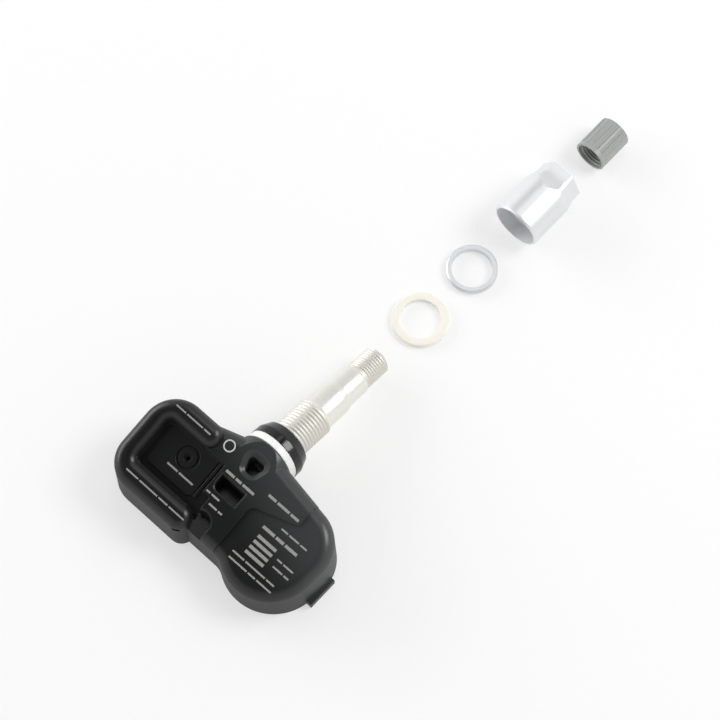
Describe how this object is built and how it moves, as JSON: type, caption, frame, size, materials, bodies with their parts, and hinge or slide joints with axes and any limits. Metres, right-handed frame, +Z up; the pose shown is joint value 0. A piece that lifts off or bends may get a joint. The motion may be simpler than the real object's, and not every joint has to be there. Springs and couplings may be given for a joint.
{
  "type": "tyre pressure sensor",
  "caption": "Wheel-mounted tyre pressure sensor: a moulded electronics housing on a clamp-in valve stem, with its washers, sleeve nut and dust cap laid out in line.",
  "frame": {"origin": "on the bench, on the housing's flat underside, under the air well", "axes": "+Z up from the bench; the stem and the loose pieces lie towards +Y; the lobe is towards +X"},
  "size_m": [0.0616, 0.1605, 0.0206],
  "materials": {
    "housing_plastic": "fine moulded grain, satin",
    "potting_resin": "poured, smooth",
    "board_laminate": "solder resist, satin",
    "cell_steel": "plated",
    "tab_nickel": "rolled strip",
    "chip_resin": "moulded, matt",
    "seal_rubber": "moulded, matt",
    "crystal_can": "plated can",
    "ferrite": "sintered, matt",
    "copper_wire": "enamelled wire",
    "antenna_tinned": "tinned strip",
    "chip_ceramic": "fired, matt",
    "stem_metal": "turned and nickel plated, satin",
    "core_brass": "turned",
    "spring_steel": "drawn wire",
    "insulator_nylon": "moulded, white",
    "grommet_rubber": "moulded, glossy",
    "washer_nylon": "moulded, translucent cream",
    "ring_metal": "turned, bright",
    "nut_metal": "satin anodised",
    "cap_plastic": "moulded, grey"
  },
  "bodies": {
    "sensor": {"housing": "housing_plastic", "potting_fill": "potting_resin", "circuit_board": "board_laminate", "battery_cell": "cell_steel", "battery_tab_positive": "tab_nickel", "battery_tab_negative": "tab_nickel", "pressure_sensor_chip": "chip_resin", "pressure_port_gasket": "seal_rubber", "radio_chip": "chip_resin", "crystal": "crystal_can", "wake_coil_core": "ferrite", "wake_coil_winding": "copper_wire", "antenna_loop": "antenna_tinned", "capacitors": "chip_ceramic", "valve_stem": "stem_metal", "valve_core_body": "core_brass", "valve_core_gasket": "seal_rubber", "valve_core_spring": "spring_steel", "insulating_washer": "insulator_nylon", "rubber_grommet": "grommet_rubber", "nylon_washer": "washer_nylon", "clamp_ring": "ring_metal", "sleeve_nut": "nut_metal", "dust_cap": "cap_plastic", "dust_cap_seal": "seal_rubber"},
    "valve_pin": {"valve_pin": "core_brass", "valve_seal_cup": "seal_rubber"}
  },
  "joints": [
    {"name": "valve_pin_slide", "type": "slide", "parent": "sensor", "child": "valve_pin", "axis": [0, -0.9781, 0.2079], "range_m": [0, 0.0012], "stiffness_N_per_m": 1000, "springref_m": -0.002, "deforming": ["valve_core_spring"]}
  ]
}
